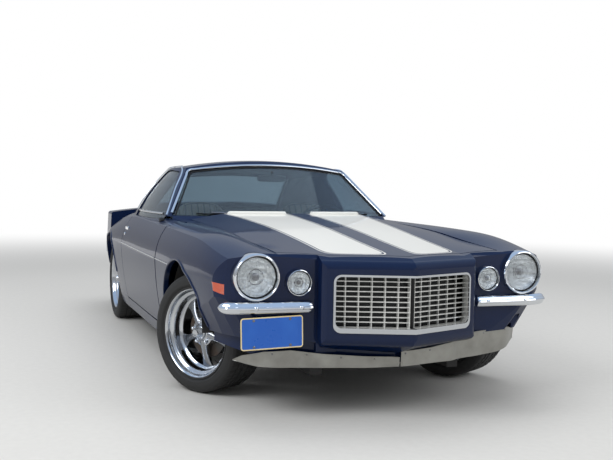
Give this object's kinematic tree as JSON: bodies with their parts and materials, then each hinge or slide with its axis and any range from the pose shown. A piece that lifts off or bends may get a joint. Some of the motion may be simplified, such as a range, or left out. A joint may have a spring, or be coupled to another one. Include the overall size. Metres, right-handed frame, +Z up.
{
  "type": "muscle car",
  "caption": "Fastback coupe with a raised hood bulge, split front bumpers, round lamps, chin spoiler and spoked wheels; doors, hood, trunk lid, steering and wheels move.",
  "frame": {"origin": "on the ground below the middle of the car", "axes": "+X forward, +Y to the car's left, +Z up"},
  "size_m": [4.7868, 1.9988, 1.282],
  "materials": {
    "navy_paint": "gloss",
    "bright_metal": "polished",
    "dark_glass": "clear",
    "lamp_glass": "clear",
    "red_lens": "gloss",
    "amber_lens": "gloss",
    "bare_sheet": "satin",
    "plate_blue": "satin",
    "black_trim": "matte",
    "beige_cloth": "woven",
    "chassis_black": "satin",
    "iron": "rough",
    "steel": "satin",
    "wheel_alloy": "polished",
    "tyre_rubber": "matte"
  },
  "bodies": {
    "car_body": {"body_shell": "navy_paint", "floor_pan": "chassis_black", "fender_left": "navy_paint", "fender_right": "navy_paint", "nose_panel": "navy_paint", "windshield": "dark_glass", "rear_window": "dark_glass", "tail_lamps": "red_lens", "front_bumpers": "bright_metal", "rear_bumper": "bright_metal", "grille": "bright_metal", "lamp_rings": "bright_metal", "lamp_lenses": "lamp_glass", "side_markers": "amber_lens", "chin_spoiler": "bare_sheet", "front_plate": "plate_blue", "dashboard": "black_trim", "steering_wheel": "black_trim", "front_seats": "beige_cloth", "rear_seat": "beige_cloth", "engine_block": "iron", "driveline": "steel", "rear_axle": "iron", "leaf_springs": "steel", "exhaust": "steel", "fuel_tank": "chassis_black", "front_subframe": "chassis_black", "radiator": "bare_sheet", "radiator_support": "chassis_black"},
    "hood": {"hood": "navy_paint"},
    "door_left": {"door_left": "navy_paint", "door_glass_left": "dark_glass"},
    "door_right": {"door_right": "navy_paint", "door_glass_right": "dark_glass"},
    "trunk_lid": {"trunk_lid": "navy_paint"},
    "knuckle_left": {"knuckle_left": "iron"},
    "knuckle_right": {"knuckle_right": "iron"},
    "wheel_front_left": {"wheel_front_left": "wheel_alloy", "tyre_front_left": "tyre_rubber"},
    "wheel_front_right": {"wheel_front_right": "wheel_alloy", "tyre_front_right": "tyre_rubber"},
    "wheel_rear_left": {"wheel_rear_left": "wheel_alloy", "tyre_rear_left": "tyre_rubber"},
    "wheel_rear_right": {"wheel_rear_right": "wheel_alloy", "tyre_rear_right": "tyre_rubber"}
  },
  "joints": [
    {"name": "hood_hinge", "type": "hinge", "parent": "car_body", "child": "hood", "pos_m": [0.47, 0, 0.846], "axis": [0, -1, 0], "range_deg": [0, 50]},
    {"name": "door_left_hinge", "type": "hinge", "parent": "car_body", "child": "door_left", "pos_m": [0.73, 0.866, 0.58], "axis": [0, 0, -1], "range_deg": [0, 62]},
    {"name": "door_right_hinge", "type": "hinge", "parent": "car_body", "child": "door_right", "pos_m": [0.73, -0.866, 0.58], "axis": [0, 0, 1], "range_deg": [0, 62]},
    {"name": "trunk_lid_hinge", "type": "hinge", "parent": "car_body", "child": "trunk_lid", "pos_m": [-1.5, 0, 0.815], "axis": [0, 1, 0], "range_deg": [0, 60]},
    {"name": "steer_left", "type": "hinge", "parent": "car_body", "child": "knuckle_left", "pos_m": [1.37, 0.727, 0.32], "axis": [0, 0, 1], "range_deg": [-62.5, 3.5]},
    {"name": "steer_right", "type": "hinge", "parent": "car_body", "child": "knuckle_right", "pos_m": [1.37, -0.727, 0.32], "axis": [0, 0, 1], "range_deg": [-62.5, 3.5]},
    {"name": "wheel_front_left_spin", "type": "hinge", "parent": "knuckle_left", "child": "wheel_front_left", "pos_m": [1.35818, 0.74789, 0.32], "axis": [-0.4924, 0.8704, 0], "continuous": true},
    {"name": "wheel_front_right_spin", "type": "hinge", "parent": "knuckle_right", "child": "wheel_front_right", "pos_m": [1.38182, -0.74789, 0.32], "axis": [-0.4924, 0.8704, 0], "continuous": true},
    {"name": "wheel_rear_left_spin", "type": "hinge", "parent": "car_body", "child": "wheel_rear_left", "pos_m": [-1.316, 0.756, 0.32], "axis": [0, 1, 0], "continuous": true},
    {"name": "wheel_rear_right_spin", "type": "hinge", "parent": "car_body", "child": "wheel_rear_right", "pos_m": [-1.316, -0.756, 0.32], "axis": [0, 1, 0], "continuous": true}
  ],
  "couplings": [
    {"joint": "steer_right", "follows": "steer_left", "ratio": 1}
  ]
}
